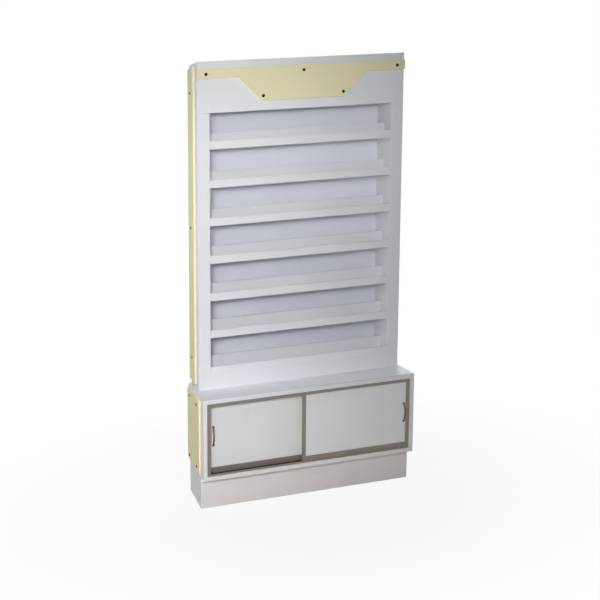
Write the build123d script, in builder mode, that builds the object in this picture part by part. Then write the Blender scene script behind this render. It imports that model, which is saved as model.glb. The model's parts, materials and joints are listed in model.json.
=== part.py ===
"""Floor-standing display rack: seven two-tier shelves over a base cupboard with two sliding doors."""

import os

from build123d import *

# Driving dimensions, in millimetres

# Carcass
overall_height = 1829.0
base_width = 908.0
base_depth = 360.0
base_height = 478.0
upper_side_setin = 13.0
upper_depth = 187.0
plinth_height = 135.5
plinth_setback = 65.0
plinth_back_setin = 26.0
board_thickness = 16.0
base_top_thickness = 20.0
back_thickness = 6.0
edge_radius = 1.0

# Face frame and shelves
stile_width = 51.0
header_height = 206.0
bottom_rail_height = 63.0
shelf_count = 7
top_shelf_gap = 113.0
lip_height = 33.0
lip_thickness = 12.0
deck_thickness = 9.0
tier_rise = 33.0
riser_setback = 87.0
riser_thickness = 10.0

# Cream trim panels
trim_thickness = 8.0
upper_trim_front_margin = 56.0
upper_trim_back_margin = 2.0
upper_trim_top_margin = 16.0
upper_trim_bottom_margin = 21.0
base_trim_front_margin = 65.0
base_trim_back_margin = 15.0
base_trim_top_margin = 14.0
base_trim_bottom_margin = 17.0

# Cream header panel
sign_thickness = 15.0
sign_top_margin = 30.0
sign_band_height = 40.0
sign_drop = 98.0
sign_shoulder_half_width = 268.0
sign_foot_half_width = 177.5
sign_corner_radius = 4.0

# Trim screws
screw_head_radius = 6.5
screw_head_height = 3.4
screw_shank_radius = 2.0
screw_hole_radius = 2.1
screw_bite = 10.0
screw_end_gap = 0.2
upper_trim_screw_inset = 65.0
upper_trim_screw_end = 102.0
base_trim_screw_front = 56.0
base_trim_screw_back = 49.0
base_trim_screw_top = 29.0
base_trim_screw_bottom = 17.0
sign_screw_end = 35.0
sign_screw_top = 22.0
sign_screw_foot_inset = 7.0
sign_screw_foot_height = 20.0

# Sliding door frame
track_setback = 9.0
track_wall = 2.0
track_groove = 12.0
track_pitch = 32.0
track_flange_height = 8.0
top_channel_height = 15.0
jamb_reach = 16.0
rail_width = 3.0
rail_height = 4.0
rail_end_gap = 24.0
bumper_length = 20.0
bumper_width = 10.0
bumper_height = 16.0

# Doors
door_overlap = 68.0
door_end_gap = 2.0
panel_thickness = 6.0
panel_top_gap = 4.0
shoe_thickness = 10.0
shoe_height = 24.0
shoe_lift = 1.0
shoe_slot_depth = 10.0
shoe_wheel_slot = 6.0
shoe_web = 2.0
profile_width = 14.5
profile_thickness = 9.0
profile_wall = 1.5

# Rollers
roller_radius = 4.2
roller_width = 5.0
roller_gap = 0.2
roller_inset = 40.0
axle_radius = 1.5
axle_clearance = 0.05
axle_end_gap = 0.2

# Bow handles
handle_centres = 76.0
handle_rise = 17.5
handle_bar_radius = 3.0
handle_foot_radius = 5.0
handle_foot_height = 3.0
left_handle_inset = 29.0
right_handle_inset = 19.5
handle_screw_head_radius = 4.0
handle_screw_head_height = 2.4
handle_screw_bite = 2.5

# Derived places: X is centred, Z starts at the floor, Y runs from the front handle to the back panel
handle_reach = handle_rise + handle_bar_radius
front_track_y = track_setback + track_wall + track_groove / 2
handle_overhang = handle_reach + panel_thickness / 2 - front_track_y
base_front = (handle_overhang - base_depth) / 2
back_face = base_front + base_depth
back_inner = back_face - back_thickness

base_half = base_width / 2
base_inner = base_half - board_thickness
floor_top = plinth_height + board_thickness
base_ceiling = base_height - base_top_thickness
plinth_front = base_front + plinth_setback

upper_half = base_half - upper_side_setin
upper_side_inner = upper_half - board_thickness
upper_front = back_face - upper_depth
frame_back = upper_front + board_thickness
upper_ceiling = overall_height - board_thickness
opening_half = upper_half - stile_width
liner_outer = opening_half + board_thickness
header_bottom = overall_height - header_height

lowest_lip_bottom = base_height + bottom_rail_height
highest_lip_bottom = header_bottom - top_shelf_gap - lip_height
shelf_pitch = (highest_lip_bottom - lowest_lip_bottom) / (shelf_count - 1)
lip_back = upper_front + lip_thickness
riser_front = upper_front + riser_setback
riser_back = riser_front + riser_thickness
shelf_levels = [highest_lip_bottom - i * shelf_pitch for i in range(shelf_count)]

front_door_y = base_front + front_track_y
rear_door_y = front_door_y + track_pitch
track_front = base_front + track_setback
track_depth = track_pitch + track_groove + 2 * track_wall
track_back = track_front + track_depth
track_plate_top = floor_top + track_wall
channel_bottom = base_ceiling - top_channel_height
channel_web_bottom = base_ceiling - track_wall
jamb_web_inner = base_inner - track_wall
jamb_bottom = floor_top + track_flange_height

door_outer_end = jamb_web_inner - door_end_gap
door_meeting_edge = door_overlap / 2
shoe_bottom = track_plate_top + shoe_lift
shoe_top = shoe_bottom + shoe_height
panel_bottom = shoe_top - shoe_slot_depth
panel_top = channel_web_bottom - panel_top_gap
wheel_slot_top = panel_bottom - shoe_web
roller_centre_z = track_plate_top + rail_height + roller_gap + roller_radius
handle_z = (shoe_top + channel_bottom) / 2

os.makedirs("parts", exist_ok=True)


def save(part, label):
    """Label a finished piece and write its STEP file."""
    part.label = label
    export_step(part, f"parts/{label}.step")


def middle(span):
    """Centre of a (low, high) span."""
    return (span[0] + span[1]) / 2


def length(span):
    """Length of a (low, high) span."""
    return span[1] - span[0]


def mirrored(span, side):
    """A span on the right side as it is, or mirrored to the left when side is -1."""
    low, high = sorted((side * span[0], side * span[1]))
    return (low, high)


def eased(span_lengths):
    """Edge radius that a board of these three lengths can carry."""
    return min(edge_radius, min(span_lengths) / 4)


def plank(x, y, z):
    """A board with eased edges between three spans."""
    with BuildPart() as piece:
        with BuildSketch(Plane.XY.offset(z[0])):
            with Locations((middle(x), middle(y))):
                Rectangle(length(x), length(y))
        extrude(amount=length(z))
        fillet(piece.edges(), eased((length(x), length(y), length(z))))
    return piece.part


def board(label, x, y, z):
    """One plain board as its own piece."""
    save(plank(x, y, z), label)


def drilled(part, points, direction, depth):
    """A part with screw holes of one depth, cut from each point along a direction."""
    with BuildPart() as piece:
        add(part)
        for point in points:
            with BuildSketch(Plane(origin=point, z_dir=direction)):
                Circle(screw_hole_radius)
            extrude(amount=depth, mode=Mode.SUBTRACT)
    return piece.part


# Screw places, each on the face of the panel that the head sits on
upper_trim_y = (upper_front + upper_trim_front_margin, back_face - upper_trim_back_margin)
upper_trim_z = (base_height + upper_trim_bottom_margin, overall_height - upper_trim_top_margin)
base_trim_y = (base_front + base_trim_front_margin, back_face - base_trim_back_margin)
base_trim_z = (plinth_height + base_trim_bottom_margin, base_height - base_trim_top_margin)
sign_top = overall_height - sign_top_margin
sign_shoulder = sign_top - sign_band_height
sign_bottom = sign_shoulder - sign_drop
sign_face = upper_front - sign_thickness


def upper_trim_screws(side):
    """Three screw places down the middle of an upper trim panel."""
    y = upper_trim_y[0] + upper_trim_screw_inset
    heights = (
        upper_trim_z[1] - upper_trim_screw_end,
        middle(upper_trim_z),
        upper_trim_z[0] + upper_trim_screw_end,
    )
    return [(side * (upper_half + trim_thickness), y, z) for z in heights]


def base_trim_screws(side):
    """Four screw places near the corners of a base trim panel."""
    depths = (base_trim_y[0] + base_trim_screw_front, base_trim_y[1] - base_trim_screw_back)
    heights = (base_trim_z[0] + base_trim_screw_bottom, base_trim_z[1] - base_trim_screw_top)
    return [(side * (base_half + trim_thickness), y, z) for y in depths for z in heights]


def sign_screws():
    """Five screw places on the header panel: three along the band and two at its foot."""
    end_x = upper_half - sign_screw_end
    foot_x = sign_foot_half_width - sign_screw_foot_inset
    top_z = sign_top - sign_screw_top
    foot_z = sign_bottom + sign_screw_foot_height
    places = ((-end_x, top_z), (0, top_z), (end_x, top_z), (-foot_x, foot_z), (foot_x, foot_z))
    return [(x, sign_face, z) for x, z in places]


# Plinth: a front board across the full width, two sides behind it and a back board between them
plinth_front_back = plinth_front + board_thickness
plinth_back = back_face - plinth_back_setin
plinth_run = (plinth_front_back, plinth_back)
plinth_back_y = (plinth_back - board_thickness, plinth_back)
board("plinth_front", (-base_half, base_half), (plinth_front, plinth_front_back), (0, plinth_height))
for side, hand in ((-1, "left"), (1, "right")):
    board(f"plinth_{hand}", mirrored((base_inner, base_half), side), plinth_run, (0, plinth_height))
board("plinth_back", (-base_inner, base_inner), plinth_back_y, (0, plinth_height))

# Base carcass: the top covers the sides, and the floor and the back sit between them
board("base_floor", (-base_inner, base_inner), (base_front, back_face), (plinth_height, floor_top))
board("base_back", (-base_inner, base_inner), (back_inner, back_face), (floor_top, base_ceiling))
board("base_top", (-base_half, base_half), (base_front, back_face), (base_ceiling, base_height))
for side, hand in ((-1, "left"), (1, "right")):
    base_side = plank(
        mirrored((base_inner, base_half), side), (base_front, back_face), (plinth_height, base_ceiling)
    )
    holes = [(side * base_half, y, z) for _, y, z in base_trim_screws(side)]
    save(drilled(base_side, holes, (-side, 0, 0), screw_bite), f"base_{hand}_side")

# Display rack: outer sides, inner liners at the edge of the opening, top and back
for side, hand in ((-1, "left"), (1, "right")):
    upper_side = plank(
        mirrored((upper_side_inner, upper_half), side), (frame_back, back_face), (base_height, upper_ceiling)
    )
    holes = [(side * upper_half, y, z) for _, y, z in upper_trim_screws(side)]
    save(drilled(upper_side, holes, (-side, 0, 0), screw_bite), f"upper_{hand}_side")
    board(
        f"upper_{hand}_liner",
        mirrored((opening_half, liner_outer), side),
        (frame_back, back_inner),
        (base_height, upper_ceiling),
    )
board("upper_top", (-upper_half, upper_half), (frame_back, back_face), (upper_ceiling, overall_height))
board(
    "upper_back", (-upper_side_inner, upper_side_inner), (back_inner, back_face), (base_height, upper_ceiling)
)

# Face frame: the header runs across, the stiles stand below it and the bottom rail lies between them
header = plank((-upper_half, upper_half), (upper_front, frame_back), (header_bottom, overall_height))
holes = [(x, upper_front, z) for x, _, z in sign_screws()]
save(drilled(header, holes, (0, 1, 0), screw_bite), "header_fascia")
for side, hand in ((-1, "left"), (1, "right")):
    board(
        f"{hand}_stile",
        mirrored((opening_half, upper_half), side),
        (upper_front, frame_back),
        (base_height, header_bottom),
    )
board(
    "bottom_rail", (-opening_half, opening_half), (upper_front, frame_back), (base_height, lowest_lip_bottom)
)

# Shelves: a front deck behind a lip, and a riser that carries a rear deck and stands above it as a lip
opening_x = (-opening_half, opening_half)
for number, level in enumerate(shelf_levels, start=1):
    front_z = (level, level + deck_thickness)
    rear_z = (level + tier_rise, level + tier_rise + deck_thickness)
    board(f"shelf_{number}_front_deck", opening_x, (lip_back, back_inner), front_z)
    board(f"shelf_{number}_rear_deck", opening_x, (riser_back, back_inner), rear_z)
with BuildPart() as front_lips:
    for level in shelf_levels:
        add(plank(opening_x, (upper_front, lip_back), (level, level + lip_height)))
save(front_lips.part, "shelf_front_lips")
with BuildPart() as risers:
    for level in shelf_levels:
        riser_z = (level + deck_thickness, level + lip_height + tier_rise)
        add(plank(opening_x, (riser_front, riser_back), riser_z))
save(risers.part, "shelf_risers")

# Cream trim panels on the four outer sides
for side, hand in ((-1, "left"), (1, "right")):
    upper_trim = plank(mirrored((upper_half, upper_half + trim_thickness), side), upper_trim_y, upper_trim_z)
    upper_trim = drilled(upper_trim, upper_trim_screws(side), (-side, 0, 0), trim_thickness)
    save(upper_trim, f"upper_{hand}_trim_panel")
    base_trim = plank(mirrored((base_half, base_half + trim_thickness), side), base_trim_y, base_trim_z)
    base_trim = drilled(base_trim, base_trim_screws(side), (-side, 0, 0), trim_thickness)
    save(base_trim, f"base_{hand}_trim_panel")

# Cream header panel: a band across the top that drops to a narrower foot between sloping shoulders
with BuildPart() as sign:
    with BuildSketch(Plane.XZ.offset(-upper_front)):
        with BuildLine():
            Polyline(
                (-upper_half, sign_top),
                (upper_half, sign_top),
                (upper_half, sign_shoulder),
                (sign_shoulder_half_width, sign_shoulder),
                (sign_foot_half_width, sign_bottom),
                (-sign_foot_half_width, sign_bottom),
                (-sign_shoulder_half_width, sign_shoulder),
                (-upper_half, sign_shoulder),
                close=True,
            )
        make_face()
    extrude(amount=sign_thickness)
    fillet(sign.edges().filter_by(Axis.Y), sign_corner_radius)
    fillet(sign.faces().sort_by(Axis.Y)[0].edges(), edge_radius)
save(drilled(sign.part, sign_screws(), (0, 1, 0), sign_thickness), "header_sign_panel")


def trim_screw(point, direction, panel):
    """One domed screw through a panel of a thickness, with its head at the point."""
    dome_radius = (screw_head_radius**2 + screw_head_height**2) / (2 * screw_head_height)
    dome_side = (dome_radius**2 - (screw_head_radius / 2) ** 2) ** 0.5 - dome_radius + screw_head_height
    shank = panel + screw_bite - screw_end_gap
    seat = Plane(origin=point, z_dir=direction)
    section = Plane(origin=point, x_dir=seat.x_dir, z_dir=seat.y_dir)
    with BuildPart() as screw:
        with BuildSketch(section):
            with BuildLine():
                Line((0, screw_head_height), (0, -shank))
                Line((0, -shank), (screw_shank_radius, -shank))
                Line((screw_shank_radius, -shank), (screw_shank_radius, 0))
                Line((screw_shank_radius, 0), (screw_head_radius, 0))
                ThreePointArc(
                    (screw_head_radius, 0), (screw_head_radius / 2, dome_side), (0, screw_head_height)
                )
            make_face()
        revolve(axis=Axis(point, direction))
    return screw.part


with BuildPart() as trim_screws:
    for side in (-1, 1):
        for point in upper_trim_screws(side) + base_trim_screws(side):
            add(trim_screw(point, (-side, 0, 0), trim_thickness))
    for point in sign_screws():
        add(trim_screw(point, (0, 1, 0), sign_thickness))
save(trim_screws.part, "trim_screws")

# Door frame: a double channel under the base top and a two-rail track on the base floor
with BuildPart() as top_channel:
    with BuildSketch(Plane.YZ.offset(-base_inner)):
        with Locations((middle((track_front, track_back)), middle((channel_web_bottom, base_ceiling)))):
            Rectangle(track_depth, track_wall)
        fin_offset = (track_groove + track_wall) / 2
        fin_z = middle((channel_bottom, base_ceiling))
        for door_y in (front_door_y, rear_door_y):
            with Locations((door_y - fin_offset, fin_z), (door_y + fin_offset, fin_z)):
                Rectangle(track_wall, top_channel_height)
    extrude(amount=2 * base_inner)
save(top_channel.part, "door_track_top")

with BuildPart() as bottom_track:
    with BuildSketch(Plane.YZ.offset(-base_inner)):
        with Locations((middle((track_front, track_back)), middle((floor_top, track_plate_top)))):
            Rectangle(track_depth, track_wall)
        flange_z = floor_top + track_flange_height / 2
        with Locations((track_front + track_wall / 2, flange_z), (track_back - track_wall / 2, flange_z)):
            Rectangle(track_wall, track_flange_height)
    extrude(amount=2 * base_inner)
    rail_half = base_inner - rail_end_gap
    with BuildSketch(Plane.YZ.offset(-rail_half)):
        for door_y in (front_door_y, rear_door_y):
            with Locations((door_y, track_plate_top + rail_height / 2)):
                Rectangle(rail_width, rail_height)
    extrude(amount=2 * rail_half)
save(bottom_track.part, "door_track_bottom")

# Jambs: one extrusion turned end for end, with a groove for the door that closes into it
for side, hand, closing_y in ((-1, "left", rear_door_y), (1, "right", front_door_y)):
    open_wall_y = track_front if side < 0 else track_back - track_wall
    jamb_walls = (open_wall_y, closing_y - track_groove / 2 - track_wall, closing_y + track_groove / 2)
    with BuildPart() as jamb:
        with BuildSketch(Plane.XY.offset(jamb_bottom)):
            with Locations((side * middle((jamb_web_inner, base_inner)), middle((track_front, track_back)))):
                Rectangle(track_wall, track_depth)
            for wall_y in jamb_walls:
                with Locations((side * (base_inner - jamb_reach / 2), wall_y + track_wall / 2)):
                    Rectangle(jamb_reach, track_wall)
        extrude(amount=channel_bottom - jamb_bottom)
    save(jamb.part, f"door_jamb_{hand}")

# Bumpers: one at the end of each track where the passing door stops
with BuildPart() as bumpers:
    for side, door_y in ((-1, front_door_y), (1, rear_door_y)):
        bumper_x = mirrored((jamb_web_inner - bumper_length, jamb_web_inner), side)
        bumper_y = (door_y - bumper_width / 2, door_y + bumper_width / 2)
        add(plank(bumper_x, bumper_y, (track_plate_top, track_plate_top + bumper_height)))
save(bumpers.part, "track_bumpers")

# Doors: the left one runs in the rear track and the right one in the front track
for side, hand, door_y, handle_inset in (
    (-1, "left", rear_door_y, left_handle_inset),
    (1, "right", front_door_y, right_handle_inset),
):
    handle_x = side * (door_outer_end - handle_inset)
    panel_face = door_y - panel_thickness / 2
    panel_back = door_y + panel_thickness / 2
    door_x = mirrored((-door_meeting_edge, door_outer_end), side)
    panel_x = mirrored((profile_wall - door_meeting_edge, door_outer_end), side)
    screw_heights = (handle_z - handle_centres / 2, handle_z + handle_centres / 2)
    roller_places = (-door_meeting_edge + roller_inset, door_outer_end - roller_inset)

    panel = plank(panel_x, (panel_face, panel_back), (panel_bottom, panel_top))
    holes = [(handle_x, panel_face, z) for z in screw_heights]
    save(drilled(panel, holes, (0, 1, 0), panel_thickness), f"{hand}_door_panel")

    # Shoe: an H section that holds the panel above and houses the rollers below
    with BuildPart() as shoe:
        with BuildSketch(Plane.YZ.offset(door_x[0])):
            with Locations((door_y, middle((shoe_bottom, shoe_top)))):
                Rectangle(shoe_thickness, shoe_height)
            with Locations((door_y, middle((panel_bottom, shoe_top)))):
                Rectangle(panel_thickness, shoe_slot_depth, mode=Mode.SUBTRACT)
            with Locations((door_y, middle((shoe_bottom, wheel_slot_top)))):
                Rectangle(shoe_wheel_slot, wheel_slot_top - shoe_bottom, mode=Mode.SUBTRACT)
        extrude(amount=length(door_x))
        for place in roller_places:
            with BuildSketch(Plane(origin=(side * place, door_y, roller_centre_z), z_dir=(0, 1, 0))):
                Circle(axle_radius + axle_clearance)
            extrude(amount=shoe_thickness, both=True, mode=Mode.SUBTRACT)
    save(shoe.part, f"{hand}_door_shoe")

    # Edge profile: a channel on the meeting edge, standing on the shoe
    with BuildPart() as profile:
        with BuildSketch(Plane.XY.offset(shoe_top)):
            with Locations((side * (profile_width / 2 - door_meeting_edge), door_y)):
                Rectangle(profile_width, profile_thickness)
            slot_x = side * (profile_wall + profile_width / 2 - door_meeting_edge)
            with Locations((slot_x, door_y)):
                Rectangle(profile_width, panel_thickness, mode=Mode.SUBTRACT)
        extrude(amount=panel_top - shoe_top)
    save(profile.part, f"{hand}_door_edge_profile")

    # Bow handle: a round bar on an arc between two feet on the panel's face
    foot_low, foot_high = ((handle_x, panel_face, z) for z in screw_heights)
    crown = (handle_x, panel_face - handle_rise, handle_z)
    with BuildPart() as handle:
        with BuildLine() as bow:
            ThreePointArc(foot_low, crown, foot_high)
        with BuildSketch(bow.line ^ 0):
            Circle(handle_bar_radius)
        sweep()
        split(bisect_by=Plane(origin=foot_low, z_dir=(0, -1, 0)), keep=Keep.TOP)
        for foot in (foot_low, foot_high):
            with BuildSketch(Plane(origin=foot, z_dir=(0, -1, 0))):
                Circle(handle_foot_radius)
            extrude(amount=handle_foot_height)
    handle_part = drilled(handle.part, (foot_low, foot_high), (0, -1, 0), handle_screw_bite)
    save(handle_part, f"{hand}_door_handle")

    # Handle screws: pan heads on the panel's back, with shanks that reach into the feet
    with BuildPart() as handle_screws:
        for z in screw_heights:
            with BuildSketch(Plane(origin=(handle_x, panel_back, z), z_dir=(0, 1, 0))):
                Circle(handle_screw_head_radius)
            extrude(amount=handle_screw_head_height)
            with BuildSketch(Plane(origin=(handle_x, panel_back, z), z_dir=(0, -1, 0))):
                Circle(screw_shank_radius)
            extrude(amount=panel_thickness + handle_screw_bite - screw_end_gap)
    save(handle_screws.part, f"{hand}_door_handle_screws")

    # Rollers: a wheel and its axle, turning in the shoe's walls
    for place, end in zip(roller_places, ("inner", "outer")):
        wheel_plane = Plane(origin=(side * place, door_y, roller_centre_z), z_dir=(0, 1, 0))
        with BuildPart() as roller:
            with BuildSketch(wheel_plane):
                Circle(roller_radius)
            extrude(amount=roller_width / 2, both=True)
            with BuildSketch(wheel_plane):
                Circle(axle_radius)
            extrude(amount=shoe_thickness / 2 - axle_end_gap, both=True)
        save(roller.part, f"{hand}_door_{end}_roller")
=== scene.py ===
"""Looks of the display stand: finishes, screw heads, floor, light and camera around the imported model."""

import json
import math

import bmesh
import bpy
from mathutils import Matrix, Vector


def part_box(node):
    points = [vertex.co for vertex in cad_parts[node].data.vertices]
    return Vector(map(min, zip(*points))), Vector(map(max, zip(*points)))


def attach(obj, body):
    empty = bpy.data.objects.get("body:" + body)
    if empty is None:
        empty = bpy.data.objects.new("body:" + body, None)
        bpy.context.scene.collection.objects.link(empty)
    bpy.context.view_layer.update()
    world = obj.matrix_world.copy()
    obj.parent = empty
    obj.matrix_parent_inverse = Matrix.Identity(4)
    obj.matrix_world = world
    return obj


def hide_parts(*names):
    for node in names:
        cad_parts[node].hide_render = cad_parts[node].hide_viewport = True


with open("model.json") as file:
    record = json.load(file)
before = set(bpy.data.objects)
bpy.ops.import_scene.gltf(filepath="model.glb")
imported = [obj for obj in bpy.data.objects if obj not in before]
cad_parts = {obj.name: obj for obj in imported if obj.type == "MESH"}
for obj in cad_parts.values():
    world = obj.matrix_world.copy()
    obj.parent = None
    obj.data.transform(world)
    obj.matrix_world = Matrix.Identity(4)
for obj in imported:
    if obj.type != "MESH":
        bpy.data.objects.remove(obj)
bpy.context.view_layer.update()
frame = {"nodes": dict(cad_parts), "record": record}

X_AXIS = 0
Y_AXIS = 1
Z_AXIS = 2
AXES = (X_AXIS, Y_AXIS, Z_AXIS)

# Node tree helpers


class Tree:
    """A material's node tree around one Principled shader, mapped in the object's own metres."""

    def __init__(self, name):
        self.material = bpy.data.materials.new(name)
        self.material.use_nodes = True
        self.nodes = self.material.node_tree.nodes
        self.links = self.material.node_tree.links
        self.shader = self.nodes["Principled BSDF"]
        coordinates = self.nodes.new("ShaderNodeTexCoord").outputs
        self.place = coordinates["Object"]
        self.facing = coordinates["Normal"]

    def add(self, kind, values=None, **settings):
        """A new node with its settings, and its inputs set to values or linked to sockets."""
        node = self.nodes.new(kind)
        for key, value in settings.items():
            setattr(node, key, value)
        for key, value in (values or {}).items():
            self.put(node.inputs[key], value)
        return node

    def put(self, socket, value):
        """Link a socket to another socket, or set it to a value."""
        if isinstance(value, bpy.types.NodeSocket):
            self.links.new(value, socket)
        else:
            socket.default_value = value

    def set(self, **inputs):
        """Set or link inputs of the shader, with underscores for the spaces in their names."""
        for key, value in inputs.items():
            self.put(self.shader.inputs[key.replace("_", " ")], value)

    def noise(self, scale, detail, roughness=0.5, place=None):
        """Noise from 0 to 1, in cycles to the metre unless another place is given."""
        values = {"Vector": place or self.place, "Scale": scale, "Detail": detail, "Roughness": roughness}
        return self.add("ShaderNodeTexNoise", values).outputs["Fac"]

    def lines(self, along, across_scale, along_scale):
        """Noise drawn out into lines along one axis."""
        scale = [across_scale for axis in AXES]
        scale[along] = along_scale
        stretched = self.add("ShaderNodeMapping", {"Vector": self.place, "Scale": scale}).outputs["Vector"]
        return self.noise(scale=1.0, detail=3.0, roughness=0.6, place=stretched)

    def between(self, factor, low=0.0, high=1.0, start=0.3, end=0.7):
        """A number that runs from low to high as the factor runs from start to end."""
        values = {"Value": factor, "From Min": start, "From Max": end, "To Min": low, "To Max": high}
        return self.add("ShaderNodeMapRange", values).outputs["Result"]

    def height(self, vector):
        """The upward part of a vector."""
        return self.add("ShaderNodeSeparateXYZ", {"Vector": vector}).outputs["Z"]

    def both(self, first, second):
        """The product of two numbers."""
        return self.add("ShaderNodeMath", {0: first, 1: second}, operation="MULTIPLY").outputs[0]

    def tint(self, factor, low, high):
        """A colour mixed between two colours."""
        node = self.add("ShaderNodeMix", data_type="RGBA")
        self.put(node.inputs["Factor"], factor)
        for key, value in (("A", low), ("B", high)):
            socket = next(s for s in node.inputs if s.name == key and s.type == "RGBA")
            self.put(socket, (*value, 1.0) if isinstance(value, tuple) else value)
        return next(s for s in node.outputs if s.type == "RGBA")

    def bump(self, height, distance):
        """A bumped normal from a height."""
        return self.add("ShaderNodeBump", {"Height": height, "Distance": distance}).outputs["Normal"]


def shade(colour, by):
    """A colour made lighter or darker by a factor."""
    return tuple(channel * by for channel in colour)


def dress(node, material):
    """Give a CAD node a finish."""
    for slot in frame["nodes"][node].material_slots:
        slot.material = material


# Finishes

WHITE = (0.80, 0.815, 0.855)
WHITE_SOIL = (0.64, 0.64, 0.64)
BASE_WHITE = (0.845, 0.815, 0.815)
BASE_SOIL = (0.66, 0.63, 0.62)
BACK_WHITE = (0.81, 0.83, 0.90)
BACK_SOIL = (0.63, 0.64, 0.66)
DOOR_WHITE = (0.875, 0.87, 0.875)
DOOR_SOIL = (0.62, 0.61, 0.60)
PLINTH_WHITE = (0.79, 0.765, 0.755)
PLINTH_SOIL = (0.58, 0.54, 0.51)
CREAM = (0.89, 0.83, 0.54)
CREAM_SOIL = (0.66, 0.60, 0.38)
BRONZE = (0.265, 0.245, 0.205)
HANDLE_BRONZE = (0.15, 0.125, 0.10)
ZINC = (0.52, 0.52, 0.53)
DARK_BROWN = (0.014, 0.011, 0.009)
RUBBER_BLACK = (0.02, 0.02, 0.021)
NYLON_WHITE = (0.70, 0.69, 0.65)
# Dark dirt for the bottom track, which also stands in as painted shade in its deep groove
GRIME_AND_SHADE = (0.022, 0.020, 0.018)
CORE_BROWN = (0.10, 0.085, 0.07)

# Thickness of the dark core line where the top sheet meets the edges of the base's top board, and its fade
CORE_LINE = 0.0012
CORE_FADE = 0.0001
# Grime and painted shade in the bottom track are full up to this height over its underside, and end this
# far below its top
GRIME_AND_SHADE_FULL = 0.003
GRIME_AND_SHADE_END = 0.001


def laminate(name, colour, soil, roughness, sheen, board_top=None):
    """Faced board: faint clouding, paper flecks, handling marks and a fine pebbled surface.

    A board whose top is given shows the dark core of its top sheet as a line along its edges.
    """
    tree = Tree(name)
    clouds = tree.noise(scale=4.0, detail=4.0)
    flecks = tree.noise(scale=420.0, detail=2.0)
    scuffs = tree.noise(scale=11.0, detail=6.0, roughness=0.65)
    pebbles = tree.noise(scale=1100.0, detail=2.0)
    tone = tree.tint(tree.between(clouds), shade(colour, by=0.975), shade(colour, by=1.01))
    tone = tree.tint(tree.between(flecks, high=0.35, start=0.55, end=0.75), tone, shade(colour, by=0.94))
    tone = tree.tint(tree.between(scuffs, high=0.22, start=0.6, end=0.8), tone, soil)
    if board_top is not None:
        upright = tree.between(tree.height(tree.facing), low=1.0, high=0.0)
        line_bottom = board_top - CORE_LINE
        line = tree.between(tree.height(tree.place), start=line_bottom - CORE_FADE, end=line_bottom)
        tone = tree.tint(tree.both(upright, line), tone, CORE_BROWN)
    tree.set(Base_Color=tone)
    tree.set(Roughness=tree.between(scuffs, low=roughness - 0.05, high=roughness + 0.08))
    tree.set(Normal=tree.bump(pebbles, distance=0.00004), IOR=1.48, Specular_IOR_Level=sheen)
    return tree.material


def anodised(name, along, grime_and_shade_heights=None):
    """Bronze anodised extrusion with stains, and drawing lines along its length.

    Where two heights are given, grime together with painted shade of the deep groove lies on what faces
    up, full at the first and gone at the second.
    """
    tree = Tree(name)
    lines = tree.lines(along, across_scale=900.0, along_scale=4.0)
    stains = tree.noise(scale=9.0, detail=4.0)
    tone = tree.tint(tree.between(lines), shade(BRONZE, by=0.88), shade(BRONZE, by=1.08))
    tone = tree.tint(tree.between(stains, high=0.4), tone, shade(BRONZE, by=0.8))
    if grime_and_shade_heights is not None:
        full, end = grime_and_shade_heights
        # Painted shade with grime: faces that look up, low in the track, darken towards the grime colour
        upward = tree.between(tree.height(tree.facing))
        sunk_shade = tree.between(tree.height(tree.place), low=1.0, high=0.0, start=full, end=end)
        tone = tree.tint(tree.both(upward, sunk_shade), tone, GRIME_AND_SHADE)
    tree.set(Base_Color=tone)
    tree.set(Metallic=0.3, Roughness=tree.between(lines, low=0.36, high=0.48))
    tree.set(Normal=tree.bump(lines, distance=0.00003), Specular_IOR_Level=0.2)
    return tree.material


def turned_metal(name, colour, roughness, along):
    """Plated metal with fine lines along one axis and dull spots."""
    tree = Tree(name)
    lines = tree.lines(along, across_scale=1400.0, along_scale=60.0)
    spots = tree.noise(scale=160.0, detail=4.0, roughness=0.6)
    tone = tree.tint(tree.between(lines), shade(colour, by=0.82), shade(colour, by=1.12))
    tone = tree.tint(tree.between(spots, high=0.5, start=0.5, end=0.75), tone, shade(colour, by=0.6))
    tree.set(Base_Color=tone)
    tree.set(Metallic=1.0, Roughness=tree.between(spots, low=roughness, high=roughness + 0.16))
    tree.set(Normal=tree.bump(lines, distance=0.00002))
    return tree.material


def moulded(name, colour, roughness, grain, sheen):
    """Moulded rubber, nylon or paint: a mottled tone and a fine grain."""
    tree = Tree(name)
    mottle = tree.noise(scale=90.0, detail=4.0, roughness=0.6)
    specks = tree.noise(scale=grain, detail=2.0)
    tone = tree.tint(tree.between(mottle), shade(colour, by=0.8), shade(colour, by=1.15))
    tone = tree.tint(tree.between(specks, high=0.4, start=0.55, end=0.75), tone, shade(colour, by=1.5))
    tree.set(Base_Color=tone)
    tree.set(Roughness=tree.between(mottle, low=roughness - 0.06, high=roughness + 0.06))
    tree.set(Normal=tree.bump(specks, distance=0.00005), Specular_IOR_Level=sheen)
    return tree.material


top_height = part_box("base_top")[1][Z_AXIS]
track_low, track_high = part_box("door_track_bottom")
# Heights of the grime and painted groove shade in the bottom track
track_grime_and_shade = (track_low[Z_AXIS] + GRIME_AND_SHADE_FULL, track_high[Z_AXIS] - GRIME_AND_SHADE_END)

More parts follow.
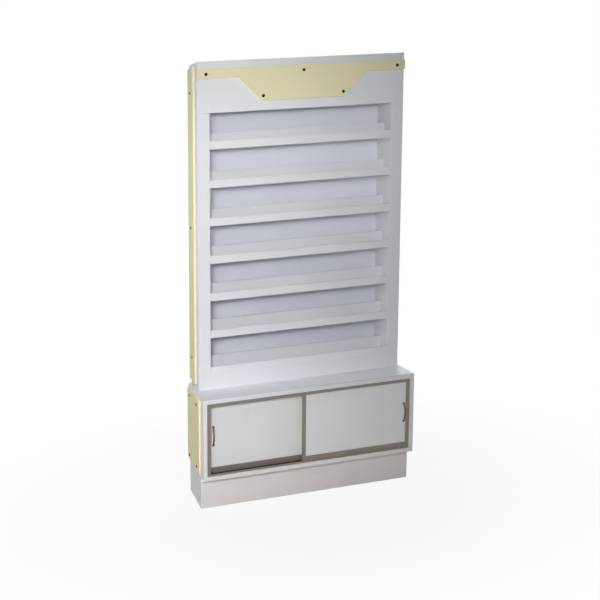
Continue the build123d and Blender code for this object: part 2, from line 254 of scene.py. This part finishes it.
white = laminate("white_laminate_finish", WHITE, WHITE_SOIL, roughness=0.46, sheen=0.3)
base_white = laminate("base_finish", BASE_WHITE, BASE_SOIL, roughness=0.46, sheen=0.3)
top_white = laminate("base_top_finish", WHITE, WHITE_SOIL, roughness=0.46, sheen=0.3, board_top=top_height)
back_white = laminate("back_panel_finish", BACK_WHITE, BACK_SOIL, roughness=0.50, sheen=0.3)
door_white = laminate("white_door_finish", DOOR_WHITE, DOOR_SOIL, roughness=0.40, sheen=0.3)
plinth_white = laminate("plinth_finish", PLINTH_WHITE, PLINTH_SOIL, roughness=0.50, sheen=0.25)
cream = laminate("cream_laminate_finish", CREAM, CREAM_SOIL, roughness=0.50, sheen=0.07)
handle_metal = turned_metal("handle_finish", HANDLE_BRONZE, roughness=0.34, along=Z_AXIS)
zinc = turned_metal("zinc_screw_finish", ZINC, roughness=0.38, along=Y_AXIS)
dark_paint = moulded("dark_screw_finish", DARK_BROWN, roughness=0.34, grain=900.0, sheen=0.15)
rubber = moulded("rubber_finish", RUBBER_BLACK, roughness=0.85, grain=1500.0, sheen=0.2)
nylon = moulded("nylon_finish", NYLON_WHITE, roughness=0.5, grain=1200.0, sheen=0.4)
bronze_level = anodised("bronze_level_finish", along=X_AXIS)
bronze_upright = anodised("bronze_upright_finish", along=Z_AXIS)
bronze_track = anodised("bronze_track_finish", along=X_AXIS, grime_and_shade_heights=track_grime_and_shade)

slot_finishes = {
    "white_laminate": white,
    "white_door": door_white,
    "cream_laminate": cream,
    "bronze_aluminium": bronze_level,
    "satin_bronze": handle_metal,
    "zinc_screw": zinc,
    "dark_screw": dark_paint,
    "black_rubber": rubber,
    "nylon": nylon,
}
# Nodes whose finish differs from that of the rest of their slot
node_finishes = {
    "plinth_front": plinth_white,
    "plinth_back": plinth_white,
    "plinth_left": plinth_white,
    "plinth_right": plinth_white,
    "base_floor": base_white,
    "base_left_side": base_white,
    "base_right_side": base_white,
    "base_top": top_white,
    "base_back": back_white,
    "upper_back": back_white,
    "door_track_bottom": bronze_track,
    "door_jamb_left": bronze_upright,
    "door_jamb_right": bronze_upright,
    "left_door_edge_profile": bronze_upright,
    "right_door_edge_profile": bronze_upright,
}
for part in frame["record"]["subparts"]:
    dress(part["node"], node_finishes.get(part["node"], slot_finishes[part["material_slot"]]))

# Trim screws: painted domes with a cross recess, in the places of the CAD screws

HEAD_RADIUS = 0.0065
HEAD_HEIGHT = 0.0034
SHANK_RADIUS = 0.002
RECESS_LENGTH = 0.0062
RECESS_WIDTH = 0.0013
RECESS_DEPTH = 0.0018
DOME_RINGS = 10
TURN_STEPS = 48
# Radians from one screw's recess to the next one's
SCREW_TURN = 0.7
WELD_DISTANCE = 1e-6
SHARP_ANGLE = math.radians(35)
# Decimals to which shanks count as equally long
SHANK_DECIMALS = 4


def turned_screw(shank):
    """A screw that stands on the origin with its head up, turned from its half outline."""
    dome = (HEAD_RADIUS**2 + HEAD_HEIGHT**2) / (2 * HEAD_HEIGHT)
    outline = []
    for ring in range(DOME_RINGS + 1):
        out = HEAD_RADIUS * ring / DOME_RINGS
        outline.append((out, 0.0, math.sqrt(dome**2 - out**2) - dome + HEAD_HEIGHT))
    outline += [(SHANK_RADIUS, 0.0, 0.0), (SHANK_RADIUS, 0.0, -shank), (0.0, 0.0, -shank)]
    shape = bmesh.new()
    points = [shape.verts.new(point) for point in outline]
    edges = [shape.edges.new(pair) for pair in zip(points, points[1:])]
    bmesh.ops.spin(shape, geom=points + edges, axis=(0, 0, 1), angle=math.tau, steps=TURN_STEPS)
    bmesh.ops.remove_doubles(shape, verts=shape.verts, dist=WELD_DISTANCE)
    bmesh.ops.recalc_face_normals(shape, faces=shape.faces)
    mesh = bpy.data.meshes.new("turned_screw")
    shape.to_mesh(mesh)
    shape.free()
    return mesh


def recess_bar(size):
    """A temporary bar that cuts one arm pair of the recess."""
    shape = bmesh.new()
    bmesh.ops.create_cube(shape, size=1.0, matrix=Matrix.Diagonal((*size, 1.0)))
    mesh = bpy.data.meshes.new("recess_bar")
    shape.to_mesh(mesh)
    shape.free()
    bar = bpy.data.objects.new("recess_bar", mesh)
    bar.location.z = HEAD_HEIGHT
    bpy.context.collection.objects.link(bar)
    return bar


def recessed_screw(shank):
    """A screw mesh with a cross recess in its head."""
    screw = bpy.data.objects.new("recessed_screw", turned_screw(shank))
    bpy.context.collection.objects.link(screw)
    height = 2 * RECESS_DEPTH
    bars = [
        recess_bar((RECESS_LENGTH, RECESS_WIDTH, height)),
        recess_bar((RECESS_WIDTH, RECESS_LENGTH, height)),
    ]
    for bar in bars:
        cut = screw.modifiers.new("recess", "BOOLEAN")
        cut.operation = "DIFFERENCE"
        cut.object = bar
    view = bpy.context.evaluated_depsgraph_get()
    mesh = bpy.data.meshes.new_from_object(screw.evaluated_get(view))
    for item in (screw, *bars):
        bpy.data.objects.remove(item)
    return mesh


def screw_places(node):
    """The place, outward direction and shank length of each screw in a CAD node."""
    shape = bmesh.new()
    shape.from_mesh(node.data)
    shape.transform(node.matrix_world)
    bmesh.ops.remove_doubles(shape, verts=shape.verts, dist=WELD_DISTANCE)
    left = set(shape.verts)
    places = []
    while left:
        island, edge = set(), {left.pop()}
        while edge:
            island |= edge
            edge = {link.other_vert(v) for v in edge for link in v.link_edges} - island
        left -= island
        low = Vector([min(v.co[axis] for v in island) for axis in AXES])
        high = Vector([max(v.co[axis] for v in island) for axis in AXES])
        size = high - low
        along = max(AXES, key=lambda axis: size[axis])
        out = Vector((0.0, 0.0, 0.0))
        out[along] = -1.0 if along == Y_AXIS or low.x < 0 else 1.0
        seat = (low + high) / 2
        seat[along] = (high if out[along] > 0 else low)[along] - out[along] * HEAD_HEIGHT
        places.append((seat, out, size[along] - HEAD_HEIGHT))
    shape.free()
    return sorted(places, key=lambda place: tuple(place[0]))


def make_trim_screws():
    """All the trim screws as one piece, each turned a little differently."""
    meshes = {}
    joined = bmesh.new()
    for number, (seat, out, shank) in enumerate(screw_places(frame["nodes"]["trim_screws"])):
        key = round(shank, SHANK_DECIMALS)
        if key not in meshes:
            meshes[key] = recessed_screw(shank)
        one = meshes[key].copy()
        turn = Matrix.Rotation(SCREW_TURN * number, 4, "Z")
        one.transform(Matrix.Translation(seat) @ out.to_track_quat("Z", "Y").to_matrix().to_4x4() @ turn)
        joined.from_mesh(one)
    mesh = bpy.data.meshes.new("trim_screw_heads")
    joined.to_mesh(mesh)
    joined.free()
    mesh.shade_smooth()
    mesh.set_sharp_from_angle(angle=SHARP_ANGLE)
    mesh.materials.append(dark_paint)
    screws = bpy.data.objects.new("trim_screw_heads", mesh)
    bpy.context.collection.objects.link(screws)
    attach(screws, "cabinet")
    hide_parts("trim_screws")


make_trim_screws()

# Floor, light and camera

PURE_WHITE = (1.0, 1.0, 1.0, 1.0)
FLOOR_SIZE = 60.0
FLOOR_PALE = (0.9, 0.9, 0.9, 1.0)
FLOOR_ROUGHNESS = 0.9
# The share of plain white in the floor near the stand, and the distances over which it rises to all
NEAR_SHARE = 0.88
NEAR_DISTANCE = 0.5
FAR_DISTANCE = 1.6
# The world's strength as light on the object
AMBIENT = 0.12

# The camera, fitted to the photograph's corners
CAMERA_PLACE = (-1.184, -4.3143, 1.5155)
CAMERA_YAW = math.radians(15.291)
CAMERA_PITCH = math.radians(8.856)
CAMERA_ROLL = math.radians(0.447)
CAMERA_LENS = 63.77
CAMERA_SENSOR = 36.0
# The photograph's uprights stand straight while its level edges climb to the right
CAMERA_SKEW = 0.0732


def seen_directly(nodes, links):
    """A factor of 1 for the camera's view, also in gloss or glass, and 0 for light on the object."""
    rays = nodes.new("ShaderNodeLightPath")
    total = rays.outputs["Is Camera Ray"]
    for ray in ("Is Glossy Ray", "Is Transmission Ray"):
        larger = nodes.new("ShaderNodeMath")
        larger.operation = "MAXIMUM"
        links.new(total, larger.inputs[0])
        links.new(rays.outputs[ray], larger.inputs[1])
        total = larger.outputs[0]
    return total


def make_floor():
    """A pale floor that keeps a soft shadow near the stand and fades into the white background."""
    mesh = bpy.data.meshes.new("floor")
    half = FLOOR_SIZE / 2
    corners = [(-half, -half, 0), (half, -half, 0), (half, half, 0), (-half, half, 0)]
    mesh.from_pydata(corners, [], [(0, 1, 2, 3)])
    floor = bpy.data.objects.new("floor", mesh)
    bpy.context.collection.objects.link(floor)
    tree = Tree("floor_finish")
    tree.set(Base_Color=FLOOR_PALE, Roughness=FLOOR_ROUGHNESS)
    glow = tree.add("ShaderNodeEmission", {"Color": PURE_WHITE, "Strength": 1.0})
    away = tree.add("ShaderNodeVectorMath", {0: tree.place}, operation="LENGTH").outputs["Value"]
    share = tree.between(away, low=NEAR_SHARE, start=NEAR_DISTANCE, end=FAR_DISTANCE)
    factor = tree.both(seen_directly(tree.nodes, tree.links), share)
    mixed = tree.add("ShaderNodeMixShader", {0: factor, 1: tree.shader.outputs[0], 2: glow.outputs[0]})
    tree.links.new(mixed.outputs[0], tree.nodes["Material Output"].inputs["Surface"])
    mesh.materials.append(tree.material)


def make_world():
    """White to the camera, and a soft even light on the object."""
    world = bpy.data.worlds.new("studio")
    bpy.context.scene.world = world
    world.use_nodes = True
    nodes, links = world.node_tree.nodes, world.node_tree.links
    background = nodes["Background"]
    background.inputs["Color"].default_value = PURE_WHITE
    strength = nodes.new("ShaderNodeMapRange")
    strength.inputs["To Min"].default_value = AMBIENT
    strength.inputs["To Max"].default_value = 1.0
    links.new(seen_directly(nodes, links), strength.inputs["Value"])
    links.new(strength.outputs["Result"], background.inputs["Strength"])


def softbox(name, place, target, size, power, spread, colour=(1.0, 1.0, 1.0)):
    """A rectangular lamp that faces a target, with a beam as wide as its spread in degrees."""
    lamp = bpy.data.lights.new(name, "AREA")
    lamp.shape = "RECTANGLE"
    lamp.size, lamp.size_y = size
    lamp.energy = power
    lamp.color = colour
    lamp.spread = math.radians(spread)
    holder = bpy.data.objects.new(name, lamp)
    holder.location = place
    holder.rotation_euler = (Vector(target) - Vector(place)).to_track_quat("-Z", "Y").to_euler()
    holder.visible_camera = False
    bpy.context.collection.objects.link(holder)


def make_front_lamps():
    """The main light from the front left, with narrow beams on the header, the doors and the ledge."""
    main_target = (-0.71, 0.0, 1.0)
    softbox("key", (-1.45, -3.9, 1.74), main_target, size=(0.8, 0.45), power=6.35, spread=60.0)
    softbox("high_key", (-1.45, -3.9, 2.05), main_target, size=(0.8, 0.5), power=2.9, spread=60.0)
    softbox("header", (-0.8, -3.5, 1.72), (-0.2, 0.0, 1.62), size=(0.5, 0.35), power=0.66, spread=27.0)
    softbox("doors", (-1.3, -3.6, 1.62), (-0.68, -0.15, 0.28), size=(0.5, 0.3), power=0.74, spread=26.0)
    softbox("ledge", (-0.45, -0.7, 2.9), (-0.24, -0.1, 0.48), size=(1.0, 0.3), power=0.52, spread=30.0)


def make_side_lamps():
    """Light on the left side, which also reaches the rack's right inner wall."""
    warm = (1.0, 0.965, 0.90)
    side_target = (0.38, 0.08, 1.1)
    softbox("side", (-2.7, -0.85, 1.2), side_target, size=(0.5, 1.4), power=2.2, spread=60.0, colour=warm)
    softbox("upper_side", (-2.2, 0.2, 1.6), (-0.45, 0.1, 1.35), size=(0.8, 1.0), power=0.62, spread=50.0)


def make_rear_lamps():
    """Light on the back, the top and the right side, for views from there."""
    softbox("back", (0.9, 3.2, 1.6), (0.0, 0.2, 1.1), size=(1.6, 2.0), power=6.5, spread=80.0)
    softbox("top_back", (0.0, 1.4, 3.6), (0.0, 0.15, 1.8), size=(1.2, 0.6), power=1.8, spread=50.0)
    softbox("right", (3.0, 0.8, 1.5), (0.4, 0.1, 1.1), size=(1.0, 1.8), power=6.0, spread=70.0)


def make_camera():
    """A plain camera on a skewed mount, which gives the photograph's climbing level edges."""
    camera = bpy.data.objects.new("camera", bpy.data.cameras.new("camera"))
    camera.data.lens = CAMERA_LENS
    camera.data.sensor_width = CAMERA_SENSOR
    mount = bpy.data.objects.new("camera_mount", None)
    for item in (camera, mount):
        bpy.context.collection.objects.link(item)
    mount.matrix_world = (
        Matrix.Translation(CAMERA_PLACE)
        @ Matrix.Rotation(-CAMERA_YAW, 4, "Z")
        @ Matrix.Rotation(math.pi / 2 - CAMERA_PITCH, 4, "X")
        @ Matrix.Rotation(CAMERA_ROLL, 4, "Z")
    )
    camera.parent = mount
    skew = Matrix.Identity(4)
    skew[Y_AXIS][X_AXIS] = -CAMERA_SKEW
    camera.matrix_parent_inverse = skew
    bpy.context.scene.camera = camera


make_floor()
make_world()
make_front_lamps()
make_side_lamps()
make_rear_lamps()
make_camera()
bpy.context.scene.view_settings.view_transform = "Standard"
